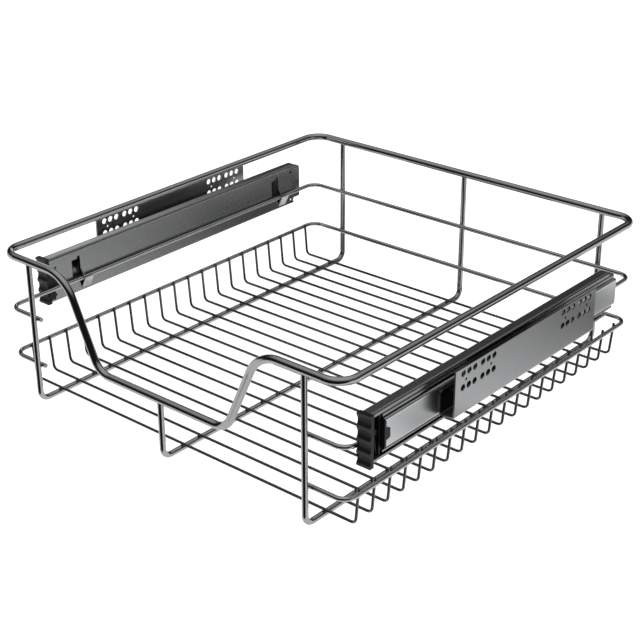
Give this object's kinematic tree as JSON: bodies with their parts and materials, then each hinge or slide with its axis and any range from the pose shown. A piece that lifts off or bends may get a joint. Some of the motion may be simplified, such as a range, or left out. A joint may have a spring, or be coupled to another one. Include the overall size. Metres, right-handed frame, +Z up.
{
  "type": "pull out cabinet basket",
  "caption": "Shallow rectangular wire basket with a dipped front rail, hung between two full-extension ball-bearing drawer slides with side brackets that screw to the walls of a cabinet.",
  "frame": {"origin": "under the middle of the object, level with the bottom of the basket's frame wires", "axes": "+X to the right, +Y to the back of the cabinet, +Z up; the dipped front rail is at -Y"},
  "size_m": [0.464, 0.4448, 0.1451],
  "materials": {
    "wire_chrome": "bright plated wire",
    "slide_steel": "zinc-plated rolled steel",
    "cage_steel": "thin bright strip",
    "bracket_steel": "satin plated sheet",
    "ball_steel": "polished",
    "cap_plastic": "moulded black"
  },
  "bodies": {
    "cabinet_rails": {"left_cabinet_member": "slide_steel", "left_cabinet_stop": "cap_plastic", "left_bracket": "bracket_steel", "left_bracket_rivets": "ball_steel", "right_cabinet_member": "slide_steel", "right_cabinet_stop": "cap_plastic", "right_bracket": "bracket_steel", "right_bracket_rivets": "ball_steel"},
    "basket": {"top_rail": "wire_chrome", "middle_ring": "wire_chrome", "lower_ring": "wire_chrome", "left_frame_wire": "wire_chrome", "middle_frame_wire": "wire_chrome", "right_frame_wire": "wire_chrome", "cross_wire_01": "wire_chrome", "cross_wire_02": "wire_chrome", "cross_wire_03": "wire_chrome", "cross_wire_04": "wire_chrome", "cross_wire_05": "wire_chrome", "cross_wire_06": "wire_chrome", "cross_wire_07": "wire_chrome", "cross_wire_08": "wire_chrome", "cross_wire_09": "wire_chrome", "cross_wire_10": "wire_chrome", "cross_wire_11": "wire_chrome", "cross_wire_12": "wire_chrome", "cross_wire_13": "wire_chrome", "cross_wire_14": "wire_chrome", "cross_wire_15": "wire_chrome", "cross_wire_16": "wire_chrome", "cross_wire_17": "wire_chrome", "cross_wire_18": "wire_chrome", "cross_wire_19": "wire_chrome", "cross_wire_20": "wire_chrome", "left_drawer_channel": "slide_steel", "left_end_cap": "cap_plastic", "right_drawer_channel": "slide_steel", "right_end_cap": "cap_plastic"},
    "left_middle": {"left_middle_member": "slide_steel"},
    "left_outer_cage": {"left_outer_ball_cage": "cage_steel", "left_outer_balls": "ball_steel"},
    "left_inner_cage": {"left_inner_ball_cage": "cage_steel", "left_inner_balls": "ball_steel"},
    "right_middle": {"right_middle_member": "slide_steel"},
    "right_outer_cage": {"right_outer_ball_cage": "cage_steel", "right_outer_balls": "ball_steel"},
    "right_inner_cage": {"right_inner_ball_cage": "cage_steel", "right_inner_balls": "ball_steel"}
  },
  "joints": [
    {"name": "basket_slide", "type": "slide", "parent": "cabinet_rails", "child": "basket", "axis": [0, -1, 0], "range_m": [0, 0.35]},
    {"name": "left_middle_slide", "type": "slide", "parent": "cabinet_rails", "child": "left_middle", "axis": [0, -1, 0], "range_m": [0, 0.175]},
    {"name": "left_outer_cage_slide", "type": "slide", "parent": "cabinet_rails", "child": "left_outer_cage", "axis": [0, -1, 0], "range_m": [0, 0.2625]},
    {"name": "left_inner_cage_slide", "type": "slide", "parent": "cabinet_rails", "child": "left_inner_cage", "axis": [0, -1, 0], "range_m": [0, 0.0875]},
    {"name": "right_middle_slide", "type": "slide", "parent": "cabinet_rails", "child": "right_middle", "axis": [0, -1, 0], "range_m": [0, 0.175]},
    {"name": "right_outer_cage_slide", "type": "slide", "parent": "cabinet_rails", "child": "right_outer_cage", "axis": [0, -1, 0], "range_m": [0, 0.2625]},
    {"name": "right_inner_cage_slide", "type": "slide", "parent": "cabinet_rails", "child": "right_inner_cage", "axis": [0, -1, 0], "range_m": [0, 0.0875]}
  ],
  "couplings": [
    {"joint": "left_middle_slide", "follows": "basket_slide", "ratio": 0.5},
    {"joint": "left_outer_cage_slide", "follows": "basket_slide", "ratio": 0.75},
    {"joint": "left_inner_cage_slide", "follows": "basket_slide", "ratio": 0.25},
    {"joint": "right_middle_slide", "follows": "basket_slide", "ratio": 0.5},
    {"joint": "right_outer_cage_slide", "follows": "basket_slide", "ratio": 0.75},
    {"joint": "right_inner_cage_slide", "follows": "basket_slide", "ratio": 0.25}
  ]
}
